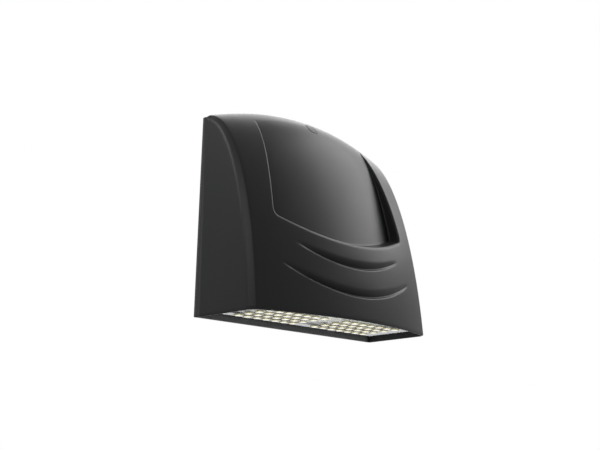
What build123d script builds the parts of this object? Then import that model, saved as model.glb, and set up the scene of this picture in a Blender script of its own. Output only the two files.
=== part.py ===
from build123d import *
import os
from math import acos, atan2, ceil, cos, degrees, hypot, pi, radians, sin, tan

# Wall pack light: a cast hood that hangs on a wall plate, lights downwards through a lens in
# its mouth, and swings up on two hinge pins at its top back edge.
# Millimetres. X runs along the wall, -Y points away from it, +Z is up.
# Depths are measured from the wall. Heights are measured from the hood's rim while the pieces
# are made, and from the centre of the junction box once they are placed.

# ---------------------------------------------------------------- driving dimensions
# Hood skin: its middle line is a cubic curve through four control points (depth, height)
hood_width = 254.0
foot_depth = 101.7
shoulder_depth = 93.1
shoulder_height = 127.6
crown_depth = 52.4
crown_height = 226.6
back_height = 220.8
foot_bow = 22.9            # how far each row of the skin falls back at the full half width
shoulder_bow = 23.5
crown_bow = 15.9
arch_drop = 23.9           # how far the crown comes down at the full half width
side_draft = 2.28          # degrees
hood_wall = 3.0
edge_bevel = 5.0
top_round = 6.0
rim_gap = 2.8              # hood's back edge off the wall
box_height = 125.0         # junction box centre above the rim

# Sunken shield panel on the front
panel_foot_height = 77.3
panel_corner_reach = 93.0
panel_corner_rise = 19.0
panel_waist_height = 150.0
panel_waist_reach = 86.3
panel_top_height = 232.0
panel_top_reach = 69.0
panel_corner_round = 4.0
panel_foot_set = 8.0       # how far the panel's control points stand back from the skin's
panel_shoulder_set = 26.0
panel_crown_lift = 8.0

# Two crescent gills under the panel
upper_gill_height = 52.7
upper_gill_reach = 72.0
upper_gill_rise = 15.7
lower_gill_height = 24.3
lower_gill_reach = 92.0
lower_gill_rise = 23.2
gill_depth = 3.0
gill_throat = 6.5

# Blanking plug in the sensor hole
plug_below_crown = 19.6
plug_width = 12.0
plug_length = 15.0
plug_corner = 3.0
plug_cap = 1.6
plug_shoulder = 2.0
plug_fit = 0.15
plug_proud = 0.3
plug_grip = 5.2
retainer_thickness = 1.0
retainer_lap = 2.5

# Mouth of the hood, from the rim up
lens_recess = 6.5
lens_thickness = 2.5
lens_fit = 0.6
gasket_thickness = 1.5
gasket_width = 8.0
ledge_thickness = 4.0
ledge_front = 10.9
ledge_back_gap = 3.0
dome_radius = 4.4
dome_height = 2.0

# Light engine
board_back = 17.5
board_side = 28.5          # hood side to the outer board edge, at the rim
board_inner = 4.0          # middle plane to the inner board edge
board_thickness = 1.6
board_margin = 6.5
board_outer_margin = 7.5
window_margin = 1.5
pad_thickness = 0.5
chip_width = 6.0
chip_height = 0.7
led_inner = 16.0
led_columns = 7
led_rows = 4
connector_width = 8.0
connector_length = 10.0
connector_height = 2.5
connector_inset = 6.0      # from the boards' front edge to the connectors' middle
way_pitch = 3.0

# Heat sink
base_thickness = 5.0
base_back = 9.0
base_clearance = 3.0
fin_height = 26.0
fin_thickness = 2.0
fin_pitch = 9.0
fin_first = 13.5
fin_count = 10
fin_margin = 1.5
lead_hole_radius = 7.5

# Driver and its tray
tray_gap = 3.5
tray_thickness = 1.5
tray_half = 91.0
tray_back = 15.0
tray_lap = 1.5             # tray's front edge past the window's
standoff_radius = 2.75
standoff_back = 22.0
standoff_front = 72.0
standoff_gap_number = 6    # counted between fins, from the middle
driver_length = 120.0
driver_width = 40.0
driver_height = 30.0
driver_shift = -5.0
driver_back = 20.0
driver_wall = 1.5
driver_foot = 9.0
driver_post = 3.0
lid_thickness = 1.2
terminal_length = 30.0
terminal_width = 16.0
terminal_height = 13.0
terminal_gap = 12.0
terminal_ways = 3
terminal_pitch = 8.0

# Leads
lead_radius = 0.75
mains_radius = 1.1
lead_fit = 0.1
lead_spread = 2.2
board_bend = 4.2

# Wall plate
plate_thickness = 3.0
plate_gap = 2.5
plate_rise = 0.5
plate_top = 203.0
seal_thickness = 2.5
seal_inset = 0.5
entry_radius = 11.1
entry_bore = 7.0
grommet_flange = 14.0
grommet_lip = 1.5
box_spacing = 88.9         # octagonal box screws
gang_spacing = 83.3        # single gang box screws
box_slot_width = 5.0
box_slot_length = 12.0
lag_spacing_x = 190.0
lag_spacing_z = 120.0
lag_radius = 3.3
ground_x = 62.0
ground_z = 30.0            # above the junction box centre

# Hinge
pivot_depth = 11.2
pivot_below_top = 10.3
ear_offset = 36.5
ear_thickness = 3.0
ear_radius = 4.0
ear_root = 18.0
ear_clearance = 1.2
notch_side_gap = 1.0
notch_back = 16.5
knuckle_length = 9.0
knuckle_radius = 5.0
pin_radius = 2.0
pin_fit = 0.05
clip_thickness = 0.8
clip_radius = 2.8
clip_groove = 0.5
hinge_end_gap = 0.8

# Quarter-turn lock screw
lock_inset = 12.0          # inner side wall to the screw's axis
lock_depth = 13.0
lock_radius = 2.5
lock_head_radius = 4.5
lock_head_height = 4.0
lock_socket = 4.0          # across flats
lock_socket_depth = 2.5
washer_radius = 5.5
washer_thickness = 1.2
washer_gap = 0.35
thread_fit = 0.08
tab_gap = 0.6
tab_thickness = 4.0
tab_half = 7.0
tab_reach = 8.0            # in front of the screw's axis
slot_gap = 0.75
notch_room = 3.0
hook_width = 10.0
hook_reach = 62.0          # middle plane to each hook of the lens
hook_thickness = 1.5
hook_lap = 2.4
hook_gap = 0.3
lock_tip = 3.0
lock_pin_radius = 0.8
lock_pin_half = 3.9
lock_pin_gap = 0.35

# Small screws
screw_radius = 1.5
screw_head_radius = 3.0
screw_head_height = 2.2
screw_hole_gap = 0.25
screw_bite = 3.4
lens_screw_inset = 5.5     # inside of the hood to a lens screw's axis
lens_screw_inner = 34.0
lens_screw_outer = 84.0
base_screw_radius = 2.0
base_head_radius = 3.8
base_head_height = 2.6
base_screw_front_x = 45.0
base_screw_back_x = 70.0
base_screw_wall_gap = 5.0  # screw head to the inside of the hood

# ---------------------------------------------------------------- sizes worked out from them
half_width = hood_width / 2
draft_slope = tan(radians(side_draft))
lens_low = lens_recess
lens_top = lens_low + lens_thickness
ledge_low = lens_top + gasket_thickness
ledge_top = ledge_low + ledge_thickness
base_top = ledge_top + base_thickness
pad_low = ledge_top - pad_thickness
board_low = pad_low - board_thickness
chip_low = board_low - chip_height
fin_top = base_top + fin_height
tray_low = fin_top + tray_gap
tray_top = tray_low + tray_thickness
board_outer = half_width - board_side
board_front = foot_depth - foot_bow * (board_outer / half_width) ** 2 - hood_wall - ledge_front
led_outer = board_outer - board_outer_margin
led_pitch = (led_outer - led_inner) / (led_columns - 1)
led_back = board_back + board_margin
row_pitch = (board_front - board_margin - led_back) / (led_rows - 1)
window_half = board_outer + window_margin
window_back = board_back - window_margin
window_front = board_front + window_margin
connector_depth = board_front - connector_inset
tray_front = window_front + tray_lap
plug_height = crown_height - plug_below_crown
lock_x = half_width - hood_wall - lock_inset
base_half = lock_x - tab_half - 1.0
pivot_height = back_height - pivot_below_top
ear_inner = ear_offset - ear_thickness / 2
ear_outer = ear_offset + ear_thickness / 2
knuckle_start = ear_outer + hinge_end_gap
knuckle_end = knuckle_start + knuckle_length
clip_start = knuckle_end + hinge_end_gap
pin_end = clip_start + clip_thickness + hinge_end_gap
washer_top = ledge_low - washer_gap
washer_low = washer_top - washer_thickness
lock_head_low = washer_low - lock_head_height
tab_low = ledge_top + tab_gap
tab_top = tab_low + tab_thickness
driver_start = driver_shift - driver_length / 2
driver_end = driver_shift + driver_length / 2
driver_middle = driver_back + driver_width / 2
board_seat = tray_top + driver_wall + driver_post
circuit_top = board_seat + board_thickness

os.makedirs("parts", exist_ok=True)


# ---------------------------------------------------------------- simple solids
def block(x0, x1, y0, y1, z0, z1):
    """Box between two corners."""
    size = Box(x1 - x0, y1 - y0, z1 - z0)
    return Pos((x0 + x1) / 2, (y0 + y1) / 2, (z0 + z1) / 2) * size


def rod(x, y, z0, z1, radius):
    """Upright cylinder."""
    return Pos(x, y, (z0 + z1) / 2) * Cylinder(radius, z1 - z0)


def axle(x0, x1, y, z, radius):
    """Cylinder along X."""
    return Pos((x0 + x1) / 2, y, z) * Rot(0, 90, 0) * Cylinder(radius, x1 - x0)


def stub(x, z, back, front, radius):
    """Cylinder along Y, between two depths from the wall."""
    return Pos(x, -(back + front) / 2, z) * Rot(90, 0, 0) * Cylinder(radius, front - back)


def slab(sketch, back, front):
    """Sketch in X and height, carried forward between two depths from the wall."""
    return extrude(Plane.XZ.offset(back) * sketch, amount=front - back)


def both(shape):
    """The shape and its mirror image, as one group."""
    return shape + mirror(shape, about=Plane.YZ)


def pan_screw(x, y, head_face, tip, radius, head_radius, head_height):
    """Screw along Z. Its head rests on the height head_face and its shank ends at tip."""
    away = -1 if tip > head_face else 1
    head = rod(x, y, min(head_face, head_face + away * head_height),
               max(head_face, head_face + away * head_height), head_radius)
    rim = head.edges().group_by(Axis.Z)[0 if away < 0 else -1]
    head = fillet(rim, head_height * 0.4)
    return head + rod(x, y, min(head_face, tip), max(head_face, tip), radius)


# ---------------------------------------------------------------- hood skin
skin_points = [(foot_depth, 0.0), (shoulder_depth, shoulder_height),
               (crown_depth, crown_height), (0.0, back_height)]
panel_points = [(foot_depth - panel_foot_set, 0.0),
                (shoulder_depth - panel_shoulder_set, shoulder_height),
                (crown_depth + panel_crown_lift, crown_height), (0.0, back_height)]
row_bows = [foot_bow, shoulder_bow, crown_bow, 0.0]
patch_reach = half_width * 1.06


def crossing(start, way, other_start, other_way):
    """Point where two lines in the depth and height plane meet."""
    turn = other_way[0] * way[1] - way[0] * other_way[1]
    gap = (other_start[0] - start[0], other_start[1] - start[1])
    along = (other_way[0] * gap[1] - gap[0] * other_way[1]) / turn
    return (start[0] + along * way[0], start[1] + along * way[1])


def set_in(points, inset):
    """Control points of the same curve, set in by a wall: each leg of the polygon moves in."""
    legs = []
    for low, high in zip(points, points[1:]):
        length = hypot(high[0] - low[0], high[1] - low[1])
        way = ((high[0] - low[0]) / length, (high[1] - low[1]) / length)
        legs.append(((low[0] - way[1] * inset, low[1] + way[0] * inset), way))
    inner = [crossing(*legs[0], (0.0, 0.0), (1.0, 0.0))]
    for leg, following in zip(legs, legs[1:]):
        inner.append(crossing(*leg, *following))
    inner.append(crossing(*legs[-1], (0.0, 0.0), (0.0, 1.0)))
    return inner


def skin_row(depth, height, bow):
    """Three control points across the skin: depth and height fall off with the square of X."""
    share = (patch_reach / half_width) ** 2
    drop = height * arch_drop / crown_height * share
    side_y = -(depth - bow * share)
    return [Vector(-patch_reach, side_y, height - drop),
            Vector(0.0, -(depth + bow * share), height + drop),
            Vector(patch_reach, side_y, height - drop)]


def behind(points):
    """Everything behind and below the curved skin with these control points."""
    rows = [skin_row(depth, height, bow) for (depth, height), bow in zip(points, row_bows)]
    skin = Face.make_bezier_surface(rows)
    return extrude(skin, amount=2 * foot_depth, dir=(0.0, 1.0, -0.3))


def between_sides(inset, back, low=0.0):
    """Space between the two leaning side faces, set in, from a depth forwards."""
    high = back_height + 20.0
    foot = half_width - inset - low * draft_slope
    top = half_width - inset - high * draft_slope
    outline = Polyline((-foot, low), (foot, low), (top, high), (-top, high), close=True)
    return slab(make_face(outline), back, foot_depth * 1.3)


def curve_at(points, t):
    """Depth and height of the middle line at t, from 0 at the foot to 1 at the wall."""
    weights = [(1 - t) ** 3, 3 * (1 - t) ** 2 * t, 3 * (1 - t) * t ** 2, t ** 3]
    return (sum(w * p[0] for w, p in zip(weights, points)),
            sum(w * p[1] for w, p in zip(weights, points)))


def skin_depth(x, height):
    """Depth of the skin at a place across and a height, by halving the curve's range."""
    share = (x / half_width) ** 2
    level = height / (1 - arch_drop / crown_height * share)
    low, high = 0.0, 1.0
    for _ in range(40):
        middle = (low + high) / 2
        if curve_at(skin_points, middle)[1] < level:
            low = middle
        else:
            high = middle
    weights = [(1 - low) ** 3, 3 * (1 - low) ** 2 * low, 3 * (1 - low) * low ** 2, low ** 3]
    bow = sum(w * b for w, b in zip(weights, row_bows))
    return curve_at(skin_points, low)[0] - bow * share


def long_side_edges(shape):
    """The two curved edges between the skin and the side faces."""
    return [edge for edge in shape.edges()
            if edge.geom_type != GeomType.LINE and abs(edge.center().X) > half_width * 0.7]


def rounded_shell(points, inset, back, bevel):
    """Solid under the skin and between the sides, with its two long edges bevelled."""
    shape = behind(points) & between_sides(inset, back)
    return chamfer(long_side_edges(shape), bevel)


# ---------------------------------------------------------------- hood details
def panel_outline(grow=0.0):
    """Shield outline of the sunken panel, in X and height, larger all round by grow."""
    radius = (panel_corner_reach ** 2 + panel_corner_rise ** 2) / (2 * panel_corner_rise) + grow
    low = panel_foot_height - grow
    corner = panel_corner_reach + grow
    part_way = corner / 2
    corner_height = low + radius - (radius ** 2 - corner ** 2) ** 0.5
    part_height = low + radius - (radius ** 2 - part_way ** 2) ** 0.5
    foot = ThreePointArc((0, low), (part_way, part_height), (corner, corner_height))
    side = ThreePointArc((corner, corner_height),
                         (panel_waist_reach + grow, panel_waist_height),
                         (panel_top_reach + grow, panel_top_height))
    top = Polyline((panel_top_reach + grow, panel_top_height), (0, panel_top_height), (0, low))
    right = make_face(foot + side + top)
    right = fillet(right.vertices().sort_by(Axis.X)[-1], panel_corner_round + grow)
    return right + mirror(right, about=Plane.YZ)


def gill(height, reach, rise):
    """Crescent cutter: the skin sinks towards a lip and ends there in a step."""
    stations = [-0.97, -0.75, -0.4, 0.0, 0.4, 0.75, 0.97]
    sections = []
    for share in stations:
        x = share * reach
        fade = 1 - share ** 2
        lip = height + rise * share ** 2
        top = lip + gill_throat * (1 - 0.7 * share ** 2)
        lip_depth = skin_depth(x, lip)
        top_depth = skin_depth(x, top)
        deep = (lip_depth - gill_depth * fade, lip + 0.3 * gill_depth * fade)
        beyond = (top_depth + 0.15 * (top_depth - deep[0]) + 0.1, top + 0.15 * (top - deep[1]))
        corners = [(x, -lip_depth - 2.0, lip), (x, -deep[0], deep[1]), (x, -beyond[0], beyond[1])]
        sections.append(make_face(Polyline(*corners, close=True)))
    return loft(sections)


def plug_plane():
    """Plane on the skin at the sensor hole, with its Z axis pointing out of the hood."""
    depth = skin_depth(0.0, plug_height)
    step = 1.0
    rise = (skin_depth(0.0, plug_height - step) - skin_depth(0.0, plug_height + step)) / (2 * step)
    outward = Vector(0.0, -1.0, rise)
    return Plane(origin=(0.0, -depth, plug_height), x_dir=(1.0, 0.0, 0.0), z_dir=outward)


def plug_prism(grow, low, high):
    """Rounded rectangle on the sensor hole's plane, between two heights over the skin."""
    outline = RectangleRounded(plug_width + 2 * grow, plug_length + 2 * grow, plug_corner)
    return plug_plane() * extrude(Pos(0, 0, low) * outline, amount=high - low)


def sensor_plug():
    """Blanking plug: a cap flush with the skin and a stem through the wall."""
    cap = plug_prism(0.0, -plug_cap, 3.0) & behind(set_in(skin_points, -plug_proud))
    return cap + plug_prism(-plug_shoulder, -plug_grip - retainer_thickness, -plug_cap)


def plug_retainer():
    """Push-on plate that holds the plug's stem inside the hood."""
    plate = plug_prism(retainer_lap - plug_shoulder, -plug_grip - retainer_thickness, -plug_grip)
    return plate - plug_prism(-plug_shoulder, -plug_grip - 2 * retainer_thickness, 0.0)


def mouth_shape(inset, low, high):
    """Flat piece that fills the hood's mouth between two heights, clear of the walls."""
    bevel = edge_bevel - inset * (2 - 2 ** 0.5)
    shape = rounded_shell(set_in(skin_points, inset), inset, plate_thickness, bevel)
    front_limit = foot_depth * 1.2
    return shape & block(-half_width, half_width, -front_limit, -plate_thickness - ledge_back_gap,
                         low, high)


def lens_screw_places():
    """Places of the four lens screws, along the front arc."""
    return [(x, -(skin_depth(x, 0.0) - hood_wall - lens_screw_inset))
            for x in (-lens_screw_outer, -lens_screw_inner, lens_screw_inner, lens_screw_outer)]


def base_screw_places():
    """Places of the four screws that hold the heat sink to the ledge."""
    front = skin_depth(base_screw_front_x, ledge_top) - hood_wall
    front_y = -(front - base_screw_wall_gap - base_head_radius - base_clearance)
    back_y = -(base_back + window_back) / 2
    return [(-base_screw_front_x, front_y), (base_screw_front_x, front_y),
            (-base_screw_back_x, back_y), (base_screw_back_x, back_y)]


def hood_casting():
    """Hood with its panel, gills, inner ledge, hinge knuckles and sensor hole."""
    shell = rounded_shell(skin_points, 0.0, rim_gap, edge_bevel)
    top_back = [edge for edge in shell.edges() if edge.geom_type != GeomType.LINE
                and abs(edge.center().X) < 1.0 and edge.center().Z > crown_height / 2]
    shell = fillet(top_back, top_round)
    panel = slab(panel_outline(), 0.0, foot_depth * 1.3)
    shell = shell - (panel - behind(panel_points))
    shell = shell - gill(upper_gill_height, upper_gill_reach, upper_gill_rise)
    shell = shell - gill(lower_gill_height, lower_gill_reach, lower_gill_rise)

    inner_bevel = edge_bevel - hood_wall * (2 - 2 ** 0.5)
    cavity = rounded_shell(set_in(skin_points, hood_wall), hood_wall, 0.0, inner_bevel)
    panel_back = slab(panel_outline(hood_wall), 0.0, foot_depth * 1.3)
    cavity = cavity - (panel_back - behind(set_in(panel_points, hood_wall)))
    gill_band = block(-lower_gill_reach, lower_gill_reach, -foot_depth * 1.2, 0.0,
                      base_top + 1.0, upper_gill_height + upper_gill_rise)
    cavity = cavity - (gill_band - behind(set_in(skin_points, hood_wall + gill_depth)))
    window = block(-window_half, window_half, -window_front, -window_back,
                   ledge_low - 1.0, ledge_top + 1.0)
    ledge = mouth_shape(hood_wall - 1.0, ledge_low, ledge_top) - window
    ledge = ledge - rod(-lock_x, -lock_depth, ledge_low - 1, ledge_top + 1,
                        lock_radius + slot_gap)
    ledge = ledge - block(-lock_x - lock_radius - slot_gap, -lock_x + lock_radius + slot_gap,
                          -lock_depth, 0.0, ledge_low - 1, ledge_top + 1)
    for x, y in lens_screw_places():
        ledge = ledge - rod(x, y, ledge_low - 1, ledge_low + screw_bite, screw_radius)
    for x, y in base_screw_places():
        ledge = ledge - rod(x, y, ledge_top - screw_bite, ledge_top + 1, base_screw_radius)
    shell = shell - cavity + ledge

    knuckle = axle(knuckle_start, knuckle_end, -pivot_depth, pivot_height, knuckle_radius)
    knuckle = knuckle + block(knuckle_start, knuckle_end, -pivot_depth - knuckle_radius,
                              -pivot_depth + knuckle_radius, pivot_height, back_height)
    knuckle = knuckle & behind(set_in(skin_points, hood_wall / 2))
    shell = shell + knuckle + mirror(knuckle, about=Plane.YZ)
    bore = axle(-half_width / 2, half_width / 2, -pivot_depth, pivot_height, pin_radius + pin_fit)
    shell = shell - bore
    notch_low = pivot_height - knuckle_radius * 2
    notch_high = pivot_height + ear_radius + ear_clearance
    notch = block(ear_inner - notch_side_gap, ear_outer + notch_side_gap * 0.7,
                  -notch_back, 1.0, notch_low, notch_high)
    shell = shell - notch - mirror(notch, about=Plane.YZ)

    shell = shell - plug_prism(plug_fit, -plug_cap, 6.0)
    return shell - plug_prism(plug_fit - plug_shoulder, -12.0, 0.0)


# ---------------------------------------------------------------- lens and light engine
def led_places(sign):
    """Centres of the light emitting diodes of one board."""
    return [(sign * (led_inner + column * led_pitch), -(led_back + row * row_pitch))
            for row in range(led_rows) for column in range(led_columns)]


def board_screw_places(sign):
    """Places of one board's four screws, between its diodes."""
    columns = (led_inner + 0.5 * led_pitch, led_outer - 0.5 * led_pitch)
    rows = (led_back + 0.5 * row_pitch, led_back + (led_rows - 1.5) * row_pitch)
    return [(sign * x, -y) for x in columns for y in rows]


def lock_corner(low, high):
    """Space around the lock screw, cut from the mouth's left back corner."""
    inner = lock_x - washer_radius - notch_room + 1.0
    return block(-half_width, -inner, -lock_depth - washer_radius - notch_room, 0.0, low, high)


def lens_hook(x):
    """Hook on the lens's back edge that reaches up and over the ledge."""
    back = plate_thickness + ledge_back_gap
    top = ledge_top + hook_gap + hook_thickness
    stem = block(x - hook_width / 2, x + hook_width / 2, -back, -back + hook_thickness,
                 lens_low, top)
    foot = block(x - hook_width / 2, x + hook_width / 2, -back - 0.5, -back,
                 lens_low, lens_top)
    tongue = block(x - hook_width / 2, x + hook_width / 2, -back - hook_lap, -back,
                   ledge_top + hook_gap, top)
    return stem + foot + tongue


def lens():
    """Clear cover with one domed lenslet under each diode and two hooks at the back."""
    plate = mouth_shape(hood_wall + lens_fit, lens_low, lens_top)
    plate = plate - lock_corner(lens_low - 1, lens_top + 1)
    for x, y in lens_screw_places():
        plate = plate - rod(x, y, lens_low - 1, lens_top + 1, screw_radius + screw_hole_gap)
    sphere_radius = (dome_radius ** 2 + dome_height ** 2) / (2 * dome_height)
    ball = Pos(0, 0, lens_low - dome_height + sphere_radius) * Sphere(sphere_radius)
    dome = ball & block(-dome_radius, dome_radius, -dome_radius, dome_radius,
                        lens_low - dome_height, lens_low + 0.3)
    domes = [Pos(x, y, 0) * dome for sign in (-1, 1) for x, y in led_places(sign)]
    return plate + domes + lens_hook(-hook_reach) + lens_hook(hook_reach)


def lens_gasket():
    """Frame of silicone between the lens and the ledge."""
    frame = mouth_shape(hood_wall + lens_fit, lens_top, ledge_low)
    frame = frame - block(-window_half, window_half, -window_front, -window_back,
                          lens_top - 1, ledge_low + 1)
    frame = frame - lock_corner(lens_top - 1, ledge_low + 1)
    for x, y in lens_screw_places():
        frame = frame - rod(x, y, lens_top - 1, ledge_low + 1, screw_radius + screw_hole_gap)
    return frame


def lens_screws():
    return Part() + [pan_screw(x, y, lens_low, ledge_low + screw_bite - 0.2, screw_radius,
                               screw_head_radius, screw_head_height)
                     for x, y in lens_screw_places()]


def board_plate(low, high):
    """Outline of the right hand board as a plate, with its screw holes."""
    plate = block(board_inner, board_outer, -board_front, -board_back, low, high)
    for x, y in board_screw_places(1):
        plate = plate - rod(x, y, low - 1, high + 1, screw_radius + screw_hole_gap)
    return plate


def chips():
    """Diodes of the right hand board, as separate solids."""
    chip = block(-chip_width / 2, chip_width / 2, -chip_width / 2, chip_width / 2,
                 chip_low, board_low)
    return Part() + [Pos(x, y, 0) * chip for x, y in led_places(1)]


def board_connector():
    """Push-in connector at the right hand board's inner edge, with one bore for each way."""
    start = board_inner + 0.5
    body = block(start, start + connector_width, -connector_depth - connector_length / 2,
                 -connector_depth + connector_length / 2, board_low - connector_height, board_low)
    level = board_low - connector_height / 2
    for way in (-1, 0, 1):
        body = body - axle(start - 1, start + connector_width / 2,
                           -connector_depth + way * way_pitch, level, lead_radius + lead_fit)
    return body


def board_screws():
    return Part() + [pan_screw(x, y, board_low, ledge_top + base_thickness * 0.6, screw_radius,
                               screw_head_radius * 0.8, 1.2)
                     for sign in (-1, 1) for x, y in board_screw_places(sign)]


def fin_places():
    """Places of the fins across the heat sink."""
    return [sign * (fin_first + number * fin_pitch)
            for sign in (-1, 1) for number in range(fin_count)]


def standoff_places():
    """Places of the tray's four standoffs, in the gaps between fins."""
    x = fin_first + (standoff_gap_number + 0.5) * fin_pitch
    return [(sign * x, -y) for sign in (-1, 1) for y in (standoff_back, standoff_front)]


def heat_sink():
    """Extruded plate with fins, which closes the window in the ledge."""
    base = mouth_shape(hood_wall + base_clearance, ledge_top, base_top)
    base = base & block(-base_half, base_half, -foot_depth, -base_back, ledge_top, base_top)
    for x, y in base_screw_places():
        base = base - rod(x, y, ledge_top - 1, base_top + 1, base_screw_radius + screw_hole_gap)
    for sign in (-1, 1):
        for x, y in board_screw_places(sign):
            base = base - rod(x, y, ledge_top - 1, ledge_top + base_thickness * 0.6, screw_radius)
    for x, y in standoff_places():
        base = base - rod(x, y, base_top - screw_bite, base_top + 1, screw_radius)
    fin_back = window_back
    fin_front = window_front
    fins = [block(x - fin_thickness / 2, x + fin_thickness / 2, -fin_front, -fin_back,
                  base_top - 0.5, fin_top) for x in fin_places()]
    sink = base + fins
    return sink - rod(0, -connector_depth, ledge_top - 1, base_top + 1, lead_hole_radius)


def heat_sink_screws():
    return Part() + [pan_screw(x, y, base_top, ledge_top - screw_bite + 0.2, base_screw_radius,
                               base_head_radius, base_head_height)
                     for x, y in base_screw_places()]


def lead_grommet():
    """Rubber ring that lines the lead hole in the heat sink."""
    lip = 1.2
    ring = rod(0, -connector_depth, ledge_top, base_top + lip, lead_hole_radius)
    ring = ring + rod(0, -connector_depth, base_top, base_top + lip, lead_hole_radius + lip)
    return ring - rod(0, -connector_depth, ledge_top - 1, base_top + lip + 1,
                      lead_hole_radius - 1.8)


# ---------------------------------------------------------------- driver
def driver_standoffs():
    posts = []
    for x, y in standoff_places():
        post = rod(x, y, base_top, tray_low, standoff_radius)
        post = post - rod(x, y, tray_low - 6, tray_low + 1, screw_radius)
        posts.append(post + rod(x, y, base_top - screw_bite + 0.2, base_top, screw_radius))
    return Part() + posts


def driver_tray():
    """Sheet tray over the fins, which carries the driver and the terminal block."""
    tray = block(-tray_half, tray_half, -tray_front, -tray_back, tray_low, tray_top)
    tray = fillet(tray.edges().filter_by(Axis.Z), 4.0)
    for x, y in standoff_places():
        tray = tray - rod(x, y, tray_low - 1, tray_top + 1, screw_radius + screw_hole_gap)
    for x, y in driver_screw_places():
        tray = tray - rod(x, y, tray_low - 1, tray_top + 1, screw_radius)
    return tray - rod(0, -connector_depth, tray_low - 1, tray_top + 1, lead_hole_radius)


def tray_screws():
    return Part() + [pan_screw(x, y, tray_top, tray_low - 5, screw_radius, screw_head_radius,
                               screw_head_height) for x, y in standoff_places()]


def driver_screw_places():
    reach = driver_length / 2 + driver_foot / 2
    return [(driver_shift - reach, -driver_middle), (driver_shift + reach, -driver_middle)]


def output_levels():
    """Places where the two output leads leave the driver, as distances in front of its middle."""
    return {"positive_lead": 4.0, "negative_lead": -4.0}


def driver_case():
    """Folded aluminium case, open on top, with a mounting foot at each end."""
    top = tray_top + driver_height - lid_thickness
    case = block(driver_start, driver_end, -driver_back - driver_width, -driver_back,
                 tray_top, top)
    case = case - block(driver_start + driver_wall, driver_end - driver_wall,
                        -driver_back - driver_width + driver_wall, -driver_back - driver_wall,
                        tray_top + driver_wall, top + 1)
    for x, y in driver_screw_places():
        foot = block(x - driver_foot / 2 - 0.5, x + driver_foot / 2 + 0.5, y - 8, y + 8,
                     tray_top, tray_top + driver_wall)
        case = case + foot
        case = case - rod(x, y, tray_top - 1, tray_top + driver_wall + 1,
                          screw_radius + screw_hole_gap)
    inset = driver_wall + 5.0
    for x in (driver_start + inset, driver_end - inset):
        for y in (-driver_back - inset, -driver_back - driver_width + inset):
            case = case + rod(x, y, tray_top + driver_wall, board_seat, 2.5)
    for shift in output_levels().values():
        case = case - axle(driver_end - driver_wall - 1, driver_end + 1, -driver_middle - shift,
                           circuit_top + lead_radius, lead_radius + lead_fit)
    for y in mains_depths():
        case = case - axle(driver_start - 1, driver_start + driver_wall + 1, -y,
                           circuit_top + mains_radius, mains_radius + lead_fit)
    return case


def driver_lid():
    """Lid with a lip that drops inside the case."""
    top = tray_top + driver_height
    lid = block(driver_start, driver_end, -driver_back - driver_width, -driver_back,
                top - lid_thickness, top)
    lip_gap = driver_wall + 0.3
    lip = block(driver_start + lip_gap, driver_end - lip_gap,
                -driver_back - driver_width + lip_gap, -driver_back - lip_gap,
                top - lid_thickness - 2.5, top - lid_thickness)
    room = block(driver_start + lip_gap + 1, driver_end - lip_gap - 1,
                 -driver_back - driver_width + lip_gap + 1, -driver_back - lip_gap - 1,
                 top - lid_thickness - 3, top - lid_thickness)
    return lid + (lip - room)


def driver_board():
    """Circuit board on the four posts in the case."""
    gap = driver_wall + 0.5
    return block(driver_start + gap, driver_end - gap, -driver_back - driver_width + gap,
                 -driver_back - gap, board_seat, circuit_top)


def driver_transformer():
    """Ferrite core with its winding on the circuit board."""
    core = block(driver_shift - 12, driver_shift + 12, -driver_middle - 10, -driver_middle + 10,
                 circuit_top, circuit_top + 5)
    core = core + block(driver_shift - 12, driver_shift + 12, -driver_middle - 10,
                        -driver_middle + 10, circuit_top + 14, circuit_top + 19)
    return core + rod(driver_shift, -driver_middle, circuit_top + 4, circuit_top + 15, 9.0)


def driver_capacitors():
    """Three electrolytic capacitors that stand on the circuit board."""
    radius = 5.0
    height = 17.0
    places = [(driver_shift - 38, -driver_middle + 9), (driver_shift - 26, -driver_middle + 9),
              (driver_shift + 34, -driver_middle + 8)]
    return Part() + [rod(x, y, circuit_top, circuit_top + height, radius) for x, y in places]


def driver_screws():
    return Part() + [pan_screw(x, y, tray_top + driver_wall, tray_low - 1, screw_radius,
                               screw_head_radius, screw_head_height)
                     for x, y in driver_screw_places()]


def mains_depths():
    """Depths of the line and neutral leads, in line with two ways of the terminal block."""
    return [driver_middle - terminal_pitch, driver_middle]


def terminal_block():
    """Three-pole terminal block beside the driver's input end."""
    face = driver_start - terminal_gap
    body = block(face - terminal_width, face, -driver_middle - terminal_length / 2,
                 -driver_middle + terminal_length / 2, tray_top, tray_top + terminal_height)
    level = circuit_top + mains_radius
    for way in range(terminal_ways):
        y = -driver_middle + (1 - way) * terminal_pitch
        body = body - axle(face - terminal_width / 2, face + 1, y, level,
                           mains_radius + lead_fit)
        body = body - axle(face - terminal_width - 1, face - terminal_width / 2 - 1, y, level,
                           mains_radius * 1.6)
        body = body - rod(face - terminal_width / 2, y, tray_top + terminal_height - 3,
                          tray_top + terminal_height + 1, 2.2)
    return body


# ---------------------------------------------------------------- leads
def bend_radii(points):
    """Radius at each inner point: 0.45 of the shorter run over the tangent of half the turn."""
    radii = []
    for before, here, after in zip(points, points[1:], points[2:]):
        run_in = Vector(here) - Vector(before)
        run_out = Vector(after) - Vector(here)
        turn = radians(run_in.get_angle(run_out))
        radii.append(0.45 * min(run_in.length, run_out.length) / tan(turn / 2))
    return radii


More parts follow.
